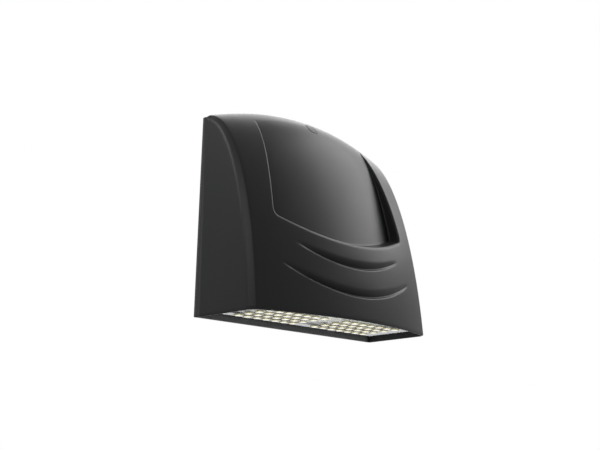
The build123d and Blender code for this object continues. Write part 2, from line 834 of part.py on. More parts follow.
def lead(name, points, radius):
    """Round lead along straight runs joined by tangent arcs."""
    radii = bend_radii(points)
    path = FilletPolyline(*points, radius=radii)
    start = Plane(origin=path @ 0, z_dir=path % 0)
    tube = sweep(start * Circle(radius), path=path)
    ratio = tube.volume / (pi * radius ** 2 * path.length)
    print(f"{name}: length {path.length:.1f}, radii {[round(r, 1) for r in radii]}, "
          f"volume ratio {ratio:.4f}")
    return tube


def output_lead(name, sign):
    """Lead from the driver's output end, down through the tray and heat sink, to a board."""
    level = circuit_top + lead_radius
    exit_y = -driver_middle - output_levels()[name]
    drop_x = lead_spread * sign
    drop_y = -connector_depth + way_pitch * sign
    board_level = board_low - connector_height / 2
    turn_x = driver_end + 13.0 - 3.0 * sign
    points = [(driver_end - 8.0, exit_y, level),
              (driver_end + 6.0 - 1.5 * sign, exit_y, level),
              (turn_x, exit_y - 9.0, level + 1.0),
              (turn_x - 4.0, drop_y + 1.5, level + 1.5),
              (turn_x - 26.0, drop_y - 1.0, level + 0.5),
              (drop_x + 14.0, drop_y - 0.5, level),
              (drop_x, drop_y, level - 6.0),
              (drop_x - 0.1 * sign, drop_y, base_top + 4.0),
              (drop_x, drop_y, board_level + board_bend),
              (drop_x - board_bend * sign, drop_y, board_level),
              (-sign * (board_inner + 2.5), drop_y, board_level)]
    return points


def make_leads():
    """All leads inside the hood, by name."""
    leads = {}
    board_level = board_low - connector_height / 2
    for name, sign in (("positive_lead", 1), ("negative_lead", -1)):
        leads[name] = lead(name, output_lead(name, sign), lead_radius)
    reach = board_inner + 2.5
    leads["jumper_lead"] = lead(
        "jumper_lead", [(-reach, -connector_depth, board_level),
                        (0.0, -connector_depth - 0.15, board_level),
                        (reach, -connector_depth, board_level)], lead_radius)
    level = circuit_top + mains_radius
    for name, depth in zip(("line_lead", "neutral_lead"), mains_depths()):
        start = driver_start - terminal_gap - 4.0
        leads[name] = lead(name, [(start, -depth, level),
                                  (driver_start - terminal_gap / 2, -depth, level + 0.1),
                                  (driver_start + 8.0, -depth, level)], mains_radius)
    return leads


# ---------------------------------------------------------------- wall plate
def ear():
    """Right hinge ear: a web that stands forward from the plate and carries the pin."""
    tip = Pos(-pivot_depth, pivot_height) * Circle(ear_radius)
    root_low = plate_top - ear_root
    root_high = plate_top - 3.0
    root = make_face(Polyline((-plate_thickness + 0.5, root_low),
                              (-plate_thickness + 0.5, root_high),
                              (-plate_thickness - 5.0, root_high),
                              (-plate_thickness - 5.0, root_low), close=True))
    outline = make_hull(tip.edges() + root.edges())
    web = extrude(Plane.YZ.offset(ear_inner) * outline, amount=ear_thickness)
    return web - axle(ear_inner - 1, ear_outer + 1, -pivot_depth, pivot_height, pin_radius)


def lock_tab():
    """Tab at the plate's left foot with the hole for the quarter-turn lock screw."""
    tab = block(-lock_x - tab_half, -lock_x + tab_half, -lock_depth - tab_reach,
                -plate_thickness / 2, tab_low, tab_top)
    rib = block(-lock_x - tab_half, -lock_x - tab_half + 2.5, -lock_depth,
                -plate_thickness / 2, tab_top, tab_top + 12.0)
    return tab + rib - rod(-lock_x, -lock_depth, tab_low - 1, tab_top + 1,
                           lock_radius + thread_fit)


def wall_plate():
    """Plate that stays on the wall: hinge ears on top and lock tabs at the bottom."""
    inset = hood_wall + plate_gap
    plate = behind(set_in(skin_points, inset)) & between_sides(inset, 0.0)
    plate = plate & block(-half_width, half_width, -plate_thickness, 0.0, plate_rise, plate_top)
    centre = box_height
    plate = plate - stub(0, centre, -1, plate_thickness + 1, entry_radius)
    slot_across = SlotOverall(box_slot_length, box_slot_width)
    for sign in (-1, 1):
        across = Pos(sign * box_spacing / 2, centre) * slot_across
        upright = Pos(0, centre + sign * gang_spacing / 2) * Rot(0, 0, 90) * slot_across
        plate = plate - slab(across, -1, plate_thickness + 1)
        plate = plate - slab(upright, -1, plate_thickness + 1)
        for side in (-1, 1):
            plate = plate - stub(side * lag_spacing_x / 2, centre + sign * lag_spacing_z / 2,
                                 -1, plate_thickness + 1, lag_radius)
    plate = plate - stub(ground_x, centre + ground_z, -1, plate_thickness + 1, screw_radius)
    right_ear = ear()
    plate = plate + right_ear + mirror(right_ear, about=Plane.YZ)
    return plate + lock_tab()


def wall_seal():
    """Foam strip round the plate's edge, behind the hood's rim."""
    outer = behind(set_in(skin_points, seal_inset)) & between_sides(seal_inset, 0.0)
    limit = block(-half_width, half_width, -seal_thickness, 0.0, plate_rise, plate_top)
    inset = hood_wall + plate_gap
    inner = behind(set_in(skin_points, inset)) & between_sides(inset, -1.0)
    keep = (outer & limit) - inner
    top_band = block(-half_width, half_width, -foot_depth, 0.0, plate_top - 1.5, crown_height)
    return keep - (top_band & block(-half_width * 0.62, half_width * 0.62, -foot_depth, 0.0,
                                    0.0, crown_height))


def wire_grommet():
    """Rubber bush in the plate's wire entry."""
    centre = box_height
    bush = stub(0, centre, 0.0, plate_thickness + grommet_lip, entry_radius)
    bush = bush + stub(0, centre, plate_thickness, plate_thickness + grommet_lip, grommet_flange)
    return bush - stub(0, centre, -1, plate_thickness + grommet_lip + 1, entry_bore)


def ground_screw():
    """Washer-head screw for the ground wire."""
    z = box_height + ground_z
    screw = stub(ground_x, z, plate_thickness, plate_thickness + 0.8, 4.8)
    hexagon = RegularPolygon(3.6, 6)
    screw = screw + slab(Pos(ground_x, z) * hexagon, plate_thickness, plate_thickness + 3.2)
    return screw + stub(ground_x, z, 0.2, plate_thickness, screw_radius)


def hinge_pin():
    """Right hinge pin, pressed into the ear and free in the hood's knuckle."""
    pin = axle(ear_inner, pin_end, -pivot_depth, pivot_height, pin_radius)
    pin = pin + axle(ear_inner - 0.9, ear_inner, -pivot_depth, pivot_height, pin_radius + 1.2)
    groove = axle(clip_start, clip_start + clip_thickness, -pivot_depth, pivot_height,
                  pin_radius + 1)
    groove = groove - axle(clip_start - 1, clip_start + clip_thickness + 1, -pivot_depth,
                           pivot_height, pin_radius - clip_groove)
    return pin - groove


def hinge_clip():
    """Open retaining ring in the right pin's groove."""
    ring = axle(clip_start, clip_start + clip_thickness, -pivot_depth, pivot_height, clip_radius)
    ring = ring - axle(clip_start - 1, clip_start + clip_thickness + 1, -pivot_depth,
                       pivot_height, pin_radius - clip_groove)
    return ring - block(clip_start - 1, clip_start + clip_thickness + 1, -pivot_depth - 0.9,
                        -pivot_depth + 0.9, pivot_height - clip_radius - 1, pivot_height)


def lock_washer():
    ring = rod(-lock_x, -lock_depth, washer_low, washer_top, washer_radius)
    return ring - rod(-lock_x, -lock_depth, washer_low - 1, washer_top + 1,
                      lock_radius + thread_fit)


def lock_screw():
    """Quarter-turn screw up through the ledge's open slot and the tab, with a cross pin."""
    screw = pan_screw(-lock_x, -lock_depth, washer_low, tab_top + lock_tip, lock_radius,
                      lock_head_radius, lock_head_height)
    hexagon = RegularPolygon(lock_socket / 2, 6, major_radius=False)
    socket = extrude(Pos(-lock_x, -lock_depth, lock_head_low) * hexagon,
                     amount=lock_socket_depth)
    cross = axle(-lock_x - lock_pin_half, -lock_x + lock_pin_half, -lock_depth,
                 tab_top + lock_pin_gap + lock_pin_radius, lock_pin_radius)
    return screw - socket + cross


# ---------------------------------------------------------------- all pieces
right_board = board_plate(board_low, pad_low)
right_pad = board_plate(pad_low, ledge_top)
right_chips = chips()
right_connector = board_connector()

pieces = {
    "wall_plate": wall_plate(),
    "wall_seal": wall_seal(),
    "wire_grommet": wire_grommet(),
    "ground_screw": ground_screw(),
    "hinge_pins": both(hinge_pin()),
    "hinge_clips": both(hinge_clip()),
    "lock_washer": lock_washer(),
    "lock_screw": lock_screw(),
    "hood_casting": hood_casting(),
    "sensor_plug": sensor_plug(),
    "plug_retainer": plug_retainer(),
    "lens": lens(),
    "lens_gasket": lens_gasket(),
    "lens_screws": lens_screws(),
    "heat_sink": heat_sink(),
    "heat_sink_screws": heat_sink_screws(),
    "led_board_left": mirror(right_board, about=Plane.YZ),
    "led_board_right": right_board,
    "led_chips_left": mirror(right_chips, about=Plane.YZ),
    "led_chips_right": right_chips,
    "thermal_pad_left": mirror(right_pad, about=Plane.YZ),
    "thermal_pad_right": right_pad,
    "board_screws": board_screws(),
    "board_connector_left": mirror(right_connector, about=Plane.YZ),
    "board_connector_right": right_connector,
    "lead_grommet": lead_grommet(),
    "driver_standoffs": driver_standoffs(),
    "driver_tray": driver_tray(),
    "tray_screws": tray_screws(),
    "driver_case": driver_case(),
    "driver_lid": driver_lid(),
    "driver_board": driver_board(),
    "driver_transformer": driver_transformer(),
    "driver_capacitors": driver_capacitors(),
    "driver_screws": driver_screws(),
    "terminal_block": terminal_block(),
}
pieces.update(make_leads())

for name, shape in pieces.items():
    placed = Pos(0, 0, -box_height) * shape
    export_step(placed, f"parts/{name}.step")
print(len(pieces), "nodes")
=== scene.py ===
# %% [markdown]
# # A wall pack light, dressed for the camera
# The light is a cast hood that hangs on a wall plate. Its CAD model is loaded first and stays
# where it is, as a ruler for everything else. A real maker would also dress the finished
# casting and not bend it, so the pieces made here only stand in for solids of the same size.

import bpy
import numpy as np
from mathutils import Matrix, Vector


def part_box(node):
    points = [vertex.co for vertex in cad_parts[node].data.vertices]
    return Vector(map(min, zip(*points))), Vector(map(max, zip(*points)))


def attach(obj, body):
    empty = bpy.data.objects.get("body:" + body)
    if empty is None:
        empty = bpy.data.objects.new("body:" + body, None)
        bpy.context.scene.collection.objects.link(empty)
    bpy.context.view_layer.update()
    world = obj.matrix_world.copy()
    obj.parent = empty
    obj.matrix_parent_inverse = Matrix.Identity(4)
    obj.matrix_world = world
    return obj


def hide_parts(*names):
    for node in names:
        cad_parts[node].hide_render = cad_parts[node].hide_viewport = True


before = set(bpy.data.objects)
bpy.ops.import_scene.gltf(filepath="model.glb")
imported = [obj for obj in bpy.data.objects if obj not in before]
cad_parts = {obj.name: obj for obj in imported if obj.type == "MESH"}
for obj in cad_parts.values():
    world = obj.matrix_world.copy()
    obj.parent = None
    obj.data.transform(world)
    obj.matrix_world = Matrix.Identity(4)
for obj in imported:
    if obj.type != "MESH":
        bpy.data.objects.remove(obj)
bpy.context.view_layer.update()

# %% [markdown]
# ## The camera
# The photograph looks up at the light from its left front. Four rim corners and the outline
# gave one camera with no lens shift. A camera could also be aimed by eye, but a fitted one
# lets every edge be compared with the photograph.

# %% Camera
view_turn, view_rise = np.radians(-46.357), np.radians(-12.574)
back = np.array([np.sin(view_turn) * np.cos(view_rise), -np.cos(view_turn) * np.cos(view_rise),
                 np.sin(view_rise)])
right = np.array([np.cos(view_turn), np.sin(view_turn), 0.0])
up = np.cross(back, right)
aim = right * -0.018718 + up * 0.003765 + np.array([0.0, -0.045, -0.025])
eye = aim + back * 1.341487
camera = bpy.data.objects.new("camera", bpy.data.cameras.new("camera"))
bpy.context.scene.collection.objects.link(camera)
camera.data.lens = 79.519
camera.data.sensor_width = 36.0
camera.data.clip_start = 0.01
camera.matrix_world = Matrix([[right[i], up[i], back[i], eye[i]] for i in range(3)]
                             + [[0, 0, 0, 1]])
bpy.context.scene.camera = camera
print("camera at", np.round(eye, 3))

# %% [markdown]
# ## Sums in the shader
# A finish is a sum of small patterns. Nodes can be wired one by one, but sums are easier to
# read as Python, so one small class wraps a socket and turns + and * into Math nodes.

# %% Shader helper
class Wire:
    """A socket of a material's node tree. Operators on wires and numbers add Math nodes."""

    def __init__(self, tree, socket):
        self.tree, self.socket = tree, socket

    def node(self, kind, settings=None, pick=0, **values):
        """New node of a kind, with settings first, then sockets by name (spaces as _) or index."""
        made = self.tree.nodes.new(kind)
        for key, value in (settings or {}).items():
            if key == "stops":
                ramp = made.color_ramp.elements
                for place, colour in value[2:]:
                    ramp.new(place)
                for stop, (place, colour) in zip(ramp, value):
                    stop.position, stop.color = place, colour
            else:
                setattr(made, key, value)
        for key, value in values.items():
            name = int(key[1:]) if key[0] == "_" else key.replace("_", " ")
            target = made.inputs[name]
            if isinstance(value, Wire):
                self.tree.links.new(value.socket, target)
            else:
                target.default_value = value
        return Wire(self.tree, made.outputs[pick])

    def math(self, operation, a, b=0.0):
        """New Math node on two wires or numbers."""
        return self.node("ShaderNodeMath", {"operation": operation}, _0=a, _1=b)

    def __add__(self, other):
        return self.math("ADD", self, other)

    def __radd__(self, other):
        return self.math("ADD", other, self)

    def __sub__(self, other):
        return self.math("SUBTRACT", self, other)

    def __rsub__(self, other):
        return self.math("SUBTRACT", other, self)

    def __mul__(self, other):
        return self.math("MULTIPLY", self, other)

    def __rmul__(self, other):
        return self.math("MULTIPLY", other, self)

    def clamp(self, low=0.0, high=1.0):
        return self.math("MINIMUM", self.math("MAXIMUM", self, low), high)

    def noise(self, scale, detail=2.0, roughness=0.5, stretch=(1.0, 1.0, 1.0)):
        """Value near 0.5 that wanders over the piece, scale times per metre."""
        place = self.node("ShaderNodeMapping", Vector=self, Scale=stretch)
        return self.node("ShaderNodeTexNoise", Vector=place, Scale=scale, Detail=detail,
                         Roughness=roughness)

    def blend(self, low, high):
        """Colour between low and high, by this value."""
        return self.node("ShaderNodeMix", {"data_type": "RGBA"}, 2, _0=self, _6=low, _7=high)

    def bump(self, strength, distance):
        """Normal that this height, in units of distance, gives."""
        return self.node("ShaderNodeBump", Height=self, Strength=strength, Distance=distance)


def new_material(name):
    """Empty material, its Principled node and a wire with the piece's own coordinates."""
    made = bpy.data.materials.new(name)
    made.use_nodes = True
    tree = made.node_tree
    shader = tree.nodes["Principled BSDF"]
    place = tree.nodes.new("ShaderNodeTexCoord").outputs["Object"]
    return made, shader, Wire(tree, place)


def plug_in(shader, **values):
    """Sets or links sockets of a Principled node."""
    for key, value in values.items():
        target = shader.inputs[key.replace("_", " ")]
        if isinstance(value, Wire):
            value.tree.links.new(value.socket, target)
        else:
            target.default_value = value


# %% [markdown]
# ## Powder coat
# The hood and plate wear a satin graphite powder coat. The plate's copy is much lighter than the
# hood's: painted light that lifts the plate out of the shade it sits in. Melted powder never
# levels
# fully: it keeps a skin like fine orange peel, under a millimetre across, and its sheen wanders a
# little. A plain dark colour would look like cut paper, so colour, roughness and bump each follow
# noise of the right size. The plug near the top is moulded, and painted to match.

# %% Painted metal
def powder_coat(name, colour, gloss, peel):
    """Satin coat: base colour, roughness and the height of the peel in millimetres."""
    made, shader, place = new_material(name)
    cloud = place.noise(14.0, 3.0)
    grain = place.noise(2600.0, 2.0)
    ripple = place.noise(900.0, 2.0)
    low = (*[c * 0.86 for c in colour], 1.0)
    high = (*[min(1.0, c * 1.16) for c in colour], 1.0)
    plug_in(shader, Base_Color=(0.7 * cloud + 0.3 * grain).blend(low, high),
            Roughness=(gloss + 0.10 * (cloud - 0.5) + 0.08 * (grain - 0.5)).clamp(0.05, 1.0),
            Metallic=0.0, Specular_IOR_Level=0.12,
            Normal=(0.65 * ripple + 0.35 * grain).bump(peel, 0.0002))
    return made


hood_coat = powder_coat("hood_powder_coat", (0.0125, 0.0128, 0.0131), 0.38, 0.30)
# Painted light: the plate's coat is lighter than the hood's, to lift the plate out of its shade.
plate_coat_painted_light = powder_coat("plate_coat_lightened_for_shade", (0.060, 0.061, 0.062), 0.44, 0.30)
plug_plastic = powder_coat("plug_plastic", (0.012, 0.0123, 0.0126), 0.42, 0.15)
print("powder coats ready")

# %% [markdown]
# ## Rubber, foam and plastic
# Seals and bushes are matte and pick up dust, and moulded plastic has a faint grain. Both come
# from one recipe with different colours, roughness and grain.

# %% Soft and moulded finishes
def moulded(name, colour, gloss, grain_scale=1500.0, depth=0.25, mottle=0.12):
    """Plain moulded finish: colour mottled a little, with a fine grain."""
    made, shader, place = new_material(name)
    patch = place.noise(60.0, 3.0)
    grain = place.noise(grain_scale, 2.0)
    low = (*[c * (1 - mottle) for c in colour], 1.0)
    high = (*[min(1.0, c * (1 + mottle)) for c in colour], 1.0)
    plug_in(shader, Base_Color=patch.blend(low, high),
            Roughness=(gloss + 0.12 * (patch - 0.5)).clamp(0.05, 1.0),
            Normal=grain.bump(depth, 0.0002))
    return made


seal_foam = moulded("seal_foam", (0.030, 0.030, 0.031), 0.85, 900.0, 0.6)
bush_rubber = moulded("bush_rubber", (0.020, 0.020, 0.021), 0.60)
gasket_silicone = moulded("gasket_silicone", (0.56, 0.57, 0.57), 0.50)
pad_grey = moulded("thermal_pad_grey", (0.42, 0.44, 0.48), 0.65)
ivory_plastic = moulded("ivory_plastic", (0.78, 0.74, 0.64), 0.45)
black_plastic = moulded("black_plastic", (0.025, 0.025, 0.026), 0.40)
green_mask = moulded("green_board_mask", (0.030, 0.190, 0.070), 0.30, 700.0, 0.15)
tape_yellow = moulded("winding_tape", (0.60, 0.42, 0.08), 0.40)
sleeve_blue = moulded("capacitor_sleeve", (0.030, 0.045, 0.140), 0.30)
red_skin = moulded("red_insulation", (0.50, 0.025, 0.020), 0.45)
black_skin = moulded("black_insulation", (0.022, 0.022, 0.023), 0.45)
white_skin = moulded("white_insulation", (0.72, 0.72, 0.70), 0.45)
print("moulded finishes ready")

# %% [markdown]
# ## Bare metal
# The heat sink is extruded, so its drawing marks run along X. Screws are plated, with a soft
# uneven shine. Stretched noise gives the marks and plain noise the plating.

# %% Metals
def metal(name, colour, gloss, stretch=(1.0, 1.0, 1.0), scale=700.0, depth=0.12):
    """Bare or plated metal whose roughness follows marks along the unstretched direction."""
    made, shader, place = new_material(name)
    marks = place.noise(scale, 3.0, 0.6, stretch)
    stain = place.noise(25.0, 3.0)
    low = (*[c * 0.85 for c in colour], 1.0)
    high = (*[min(1.0, c * 1.08) for c in colour], 1.0)
    plug_in(shader, Base_Color=stain.blend(low, high), Metallic=1.0,
            Roughness=(gloss + 0.22 * (marks - 0.5) + 0.1 * (stain - 0.5)).clamp(0.05, 1.0),
            Normal=marks.bump(depth, 0.0001))
    return made


drawn_aluminium = metal("drawn_aluminium", (0.70, 0.71, 0.72), 0.36, (0.03, 1.0, 1.0))
sheet_aluminium = metal("sheet_aluminium", (0.62, 0.63, 0.64), 0.32, (1.0, 0.05, 1.0))
plated_steel = metal("plated_steel", (0.58, 0.57, 0.55), 0.28)
green_plating = metal("green_plating", (0.06, 0.34, 0.11), 0.34)
print("metals ready")

# %% [markdown]
# ## Diodes and their boards
# The boards carry a white mask that throws light back out, and each diode is a square of
# yellow phosphor under clear resin. The clear cover over them is moulded polycarbonate. A
# true glass shader would need many bounces for little gain, so the cover mixes a clear coat
# of reflection over see-through.

# %% Light engine finishes
first_x, first_y, pitch_x, pitch_y = 0.016, 0.024, 0.0125, 0.0145
window_half_x, window_middle_y, window_half_y = 0.0985, -0.0458, 0.0283


def white_board():
    """White mask with faint copper traces under it and dust at large."""
    made, shader, place = new_material("white_board_mask")
    trace = place.noise(160.0, 1.0, 0.4, (1.0, 0.35, 1.0))
    patch = place.noise(40.0, 2.0)
    shade = (0.6 * trace + 0.4 * patch).clamp()
    plug_in(shader, Base_Color=shade.blend((0.62, 0.63, 0.63, 1), (0.80, 0.80, 0.78, 1)),
            Roughness=(0.34 + 0.1 * (patch - 0.5)).clamp(), Normal=trace.bump(0.2, 0.0002))
    return made


def phosphor_square():
    """Phosphor with its resin: yellow that varies a little from diode to diode."""
    made, shader, place = new_material("diode_phosphor")
    drift = place.noise(70.0, 1.0)
    plug_in(shader, Base_Color=drift.blend((0.80, 0.62, 0.14, 1), (0.93, 0.84, 0.42, 1)),
            Roughness=(0.25 + 0.1 * (drift - 0.5)).clamp(), Coat_Weight=0.3)
    return made


def dome_resin():
    """Milky resin over the phosphor, warm white with a little yellow that wanders over it."""
    made, shader, place = new_material("dome_resin")
    drift = place.noise(90.0, 1.0)
    plug_in(shader, Base_Color=drift.blend((0.84, 0.78, 0.52, 1), (0.95, 0.93, 0.80, 1)),
            Roughness=(0.18 + 0.1 * (drift - 0.5)).clamp(), Coat_Weight=0.4)
    return made


def clear_cover():
    """See-through plastic with a frosted border, and a gloss that grows at low angles."""
    made, shader, place = new_material("clear_cover")
    tree = made.node_tree
    plug_in(shader, Metallic=0.0, Base_Color=place.noise(50.0, 2.0).blend(
        (0.74, 0.75, 0.75, 1), (0.84, 0.85, 0.85, 1)),
        Roughness=(0.10 + 0.08 * place.noise(400.0, 2.0)).clamp())
    clear = tree.nodes.new("ShaderNodeBsdfTransparent")
    clear.inputs["Color"].default_value = (0.97, 0.98, 0.98, 1)
    rim = place.node("ShaderNodeFresnel", IOR=1.35)
    x, y = [place.node("ShaderNodeSeparateXYZ", None, pick, Vector=place) for pick in (0, 1)]
    past_x = x.math("ABSOLUTE", x) - window_half_x
    from_middle = y - window_middle_y
    past_y = from_middle.math("ABSOLUTE", from_middle) - window_half_y
    border = (past_x.math("MAXIMUM", past_x, past_y) * 900.0).clamp()
    amount = (0.20 + 0.26 * rim + 0.50 * border + 0.03 * place.noise(30.0, 2.0)).clamp()
    mix = place.node("ShaderNodeMixShader", None, 0, _0=amount, _1=Wire(tree, clear.outputs[0]),
                     _2=Wire(tree, shader.outputs[0]))
    tree.links.new(mix.socket, tree.nodes["Material Output"].inputs["Surface"])
    return made


def optic_painted_glare_and_shade():
    """Moulded optic with painted light: a painted highlight of near white in the middle for the
    phosphor's glare, then olive, then painted shade that goes dark towards its rim, where its
    sides are in shade. The ramp reads the distance from the nearest diode's middle."""
    made, shader, place = new_material("optic_painted_glare_and_shade")
    x, y = [place.node("ShaderNodeSeparateXYZ", None, pick, Vector=place) for pick in (0, 1)]
    along = x.math("ABSOLUTE", x) - (first_x - pitch_x / 2)
    deep = -1.0 * y - (first_y - pitch_y / 2)
    off_x = along.math("FLOORED_MODULO", along, pitch_x) - pitch_x / 2
    off_y = deep.math("FLOORED_MODULO", deep, pitch_y) - pitch_y / 2
    square = off_x * off_x + off_y * off_y
    away = square.math("SQRT", square)
    # Painted highlight in each optic's middle, and painted shade that darkens towards its rim.
    glare_and_shade_ramp = (away * 215.0).node("ShaderNodeValToRGB", {"stops": [
        (0.0, (0.92, 0.92, 0.88, 1)), (0.60, (0.92, 0.91, 0.84, 1)), (0.80, (0.60, 0.55, 0.32, 1)),
        (1.0, (0.20, 0.18, 0.10, 1))]}, 0, Fac=away * 215.0)
    plug_in(shader, Base_Color=glare_and_shade_ramp, Coat_Weight=0.5,
            Roughness=(0.14 + 0.1 * (place.noise(90.0, 1.0) - 0.5)).clamp())
    return made


board_white = white_board()
phosphor = phosphor_square()
resin = dome_resin()
optic = optic_painted_glare_and_shade()
cover_clear = clear_cover()
print("light engine finishes ready")

# %% [markdown]
# ## The hood's curve
# The hood was drawn with one curve: a cubic through four control points, in depth from the
# wall and height over the rim. Across the light, depth and height fall off with the square
# of X. A sculpted mesh could come close, but the formula puts every point exactly where the
# casting has it.

# %% Curve of the skin, in millimetres
half_width, side_lean = 127.0, np.tan(np.radians(2.28))
plug_middle_height = 207.0
skin_curve = np.array([(101.7, 0.0), (93.1, 127.6), (52.4, 226.6), (0.0, 220.8)])
panel_curve = skin_curve + np.array([(-8.0, 0.0), (-26.0, 0.0), (8.0, 0.0), (0.0, 0.0)])
bows = np.array([22.9, 23.5, 15.9, 0.0])
arch = 23.9 / 226.6 / half_width ** 2
wall, rim_gap, facet, top_round = 3.0, 2.8, 5.0, 6.0
box_height = 125.0


def cubic(values, t):
    """Sum of the four control values, weighted by (1-t)^3, 3(1-t)^2 t, 3(1-t) t^2 and t^3."""
    return ((1 - t) ** 3 * values[0] + 3 * (1 - t) ** 2 * t * values[1]
            + 3 * (1 - t) * t ** 2 * values[2] + t ** 3 * values[3])


def set_in(curve, inset):
    """Control points of the curve moved in by a wall: each leg of the polygon moves in."""
    start, way = curve[:-1], np.diff(curve, axis=0)
    way = way / np.linalg.norm(way, axis=1)[:, None]
    start = start + inset * np.stack([-way[:, 1], way[:, 0]], axis=1)
    inner = [start[0] - way[0] * start[0, 1] / way[0, 1]]
    for a, da, b, db in zip(start, way, start[1:], way[1:]):
        gap = b - a
        inner.append(a + da * (gap[0] * db[1] - gap[1] * db[0]) / (da[0] * db[1] - da[1] * db[0]))
    inner.append(start[2] - way[2] * start[2, 0] / way[2, 0])
    return np.array(inner)


table_t = np.linspace(0.0, 0.93, 600)


def t_at(curve, x, z):
    """Place on the curve at which the skin is z high at x, looked up in a table."""
    return np.interp(z / (1 - arch * x ** 2), cubic(curve[:, 1], table_t), table_t)


def depth_at(curve, x, t):
    """Depth of the skin: the curve's, less the bow times (x / half width) squared."""
    return cubic(curve[:, 0], t) - cubic(bows, t) * (x / half_width) ** 2


def height_at(curve, x, t):
    """Height of the skin: the curve's, times 1 - arch x^2."""
    return cubic(curve[:, 1], t) * (1 - arch * x ** 2)


print("skin depth at the rim and mid height",
      np.round(depth_at(skin_curve, 0.0, np.array([0.0, 0.5])), 1))

# %% [markdown]
# ## What is sunk into the front
# A shield-shaped panel is sunk behind a lip, and two crescent gills cut in under it. On a
# casting all of these have drafted walls and soft edges, which is where the light catches.
# Each is a depth of sinking worked out from the distance to its edge.

# %% Panel and gills
panel_lip, panel_lip_bend, lip_round = 77.3, 2.2e-3, 2.3
gill_lips = ((52.7, 3.03e-3, 72.0), (24.3, 2.75e-3, 92.0))
gill_sink, gill_throat = 3.0, 7.0


def panel_side(z):
    """Half width of the panel at a height: a parabola in the height below 150 mm."""
    s = np.clip((150.0 - z) / 50.0, -1.4, 1.46)
    return 86.27 + 7.913 * s - 1.524 * s ** 2


def soft_min(a, b, width):
    """Smaller of two values, rounded where they are within width of each other."""
    near = np.clip(0.5 + 0.5 * (b - a) / width, 0, 1)
    return b * (1 - near) + a * near - width * near * (1 - near)


def panel_sink(x, z):
    """Sinking of the panel: walls drafted by 10 degrees from the lip, down to its floor."""
    side = panel_side(z) - np.abs(x)
    low = 0.62 * (z - panel_lip - panel_lip_bend * x ** 2)
    corner = 4.0
    away = np.stack([corner - side, corner - low])
    edge = corner - np.hypot(*np.maximum(away, 0)) - np.minimum(away.max(axis=0), 0)
    roll = np.clip(edge + lip_round, 0, lip_round)
    lip = lip_round - np.sqrt(lip_round ** 2 - roll ** 2)
    wall_down = np.where(edge > 0, lip_round + edge / np.tan(np.radians(10.0)), lip)
    floor = depth_at(skin_curve, x, t_at(skin_curve, x, z)) - depth_at(
        panel_curve, x, t_at(panel_curve, x, z))
    floor = np.maximum(floor, 0.0)
    return np.maximum(soft_min(wall_down, floor, np.minimum(1.6, 0.8 * floor + 1e-6)), 0.0)


def gill_sinking(x, z):
    """Sinking of both gills: a slow slope down to each lip and a quick rounded step out."""
    total = np.zeros_like(x + z)
    for low, bend, reach in gill_lips:
        over = z - low - bend * x ** 2
        fade = np.clip(1 - (x / reach) ** 2, 0, 1) ** 0.75
        throat = gill_throat * (1 - 0.6 * np.clip(x / reach, -1, 1) ** 2)
        slope = np.clip(1 - (over - 0.9) / throat, 0, 1) ** 1.3
        step = np.clip((over + 1.9) / 2.8, 0, 1)
        step = step * step * (3 - 2 * step)
        total = total + gill_sink * fade * np.where(over > 0.9, slope, step)
    return total


# %% [markdown]
# ## Rows and columns that follow the edges
# An edge stays crisp only when lines of the mesh run along it. So the rows follow the lips of
# the gills and the panel, the columns follow the panel's sides, and both bunch up there. Even
# rows would need a mesh ten times as fine.

# %% Grid lines
bunch = np.array([-5.0, -3.4, -2.6, -2.2, -1.8, -1.4, -1.0, -0.7, -0.45, -0.25, -0.1, 0.0, 0.25,
                  0.6, 1.0, 1.5, 2.0, 2.5, 3.2, 4.5])
gill_bunch = np.array([-3.2, -2.4, -1.9, -1.5, -1.1, -0.7, -0.3, 0.1, 0.4, 0.7, 0.9, 1.2, 1.7,
                       2.4, 3.4, 4.6, 5.8, 7.2, 9.0])
inside = [(share, 0.0, 0.0) for share in np.linspace(0.0, 0.93, 26)]
along = [(1.0, past, 0.0) for past in bunch]
outside = [(1.0, 4.5, share) for share in np.linspace(0.2, 1.0, 7)]
column_rule = np.array(inside + along + outside)


def front_x(z, inset, cut):
    """X of each front column at its height: a share of the panel's half width, then some
    millimetres past it, then a share of the rest of the way to the facet."""
    share, past, on = column_rule.T
    side = panel_side(z)
    last = half_width - inset - z * side_lean - cut * 0.93
    return share * side + past + on * (last - side - 4.5)


def settle(curve, inset, cut, t_of):
    """X, t and height of the front columns of one row, by repeating the formulas in turn."""
    z = np.full(len(column_rule), 100.0)
    for _ in range(14):
        x = front_x(z, inset, cut)
        t = t_of(x)
        z = height_at(curve, x, t)
    return x, t, z


def lip_row(curve, low, bend, reach):
    """Row at a height of low plus bend times X squared, level past its reach."""
    def t_of(x):
        level = soft_min(np.abs(x), reach + 4.0, 8.0)
        return t_at(curve, x, np.maximum(low + bend * level ** 2, 0.0))
    return t_of


def back_t(curve, x, depth):
    """Place on the curve where the skin is only this deep, found by halving."""
    low, high = np.full_like(x, 0.5), np.full_like(x, 1.0)
    for _ in range(26):
        middle = (low + high) / 2
        deeper = depth_at(curve, x, middle) > depth
        low, high = np.where(deeper, middle, low), np.where(deeper, high, middle)
    return low


def top_row(curve, share, depth):
    """Row a share of the way from above the panel's lip to the rounded top edge."""
    start = lip_row(curve, panel_lip + 4.5 / 0.62, panel_lip_bend, 96.0)

    def t_of(x):
        first = start(x)
        return first + (back_t(curve, x, depth) - first) * share
    return t_of


def quadratic(a, b, c, count):
    """Points on the curve that leaves a towards b and arrives at c from b."""
    s = np.linspace(0, 1, count)[:, None]
    return (1 - s) ** 2 * a + 2 * s * (1 - s) * b + s ** 2 * c


# %% [markdown]
# ## From front to side
# Between the front and each flat side runs a narrow facet with softened edges. At the crown
# it turns with the curve, so its inner edge is found along the curve's own normal. The side
# behind it is flat and only has to reach the back edge.

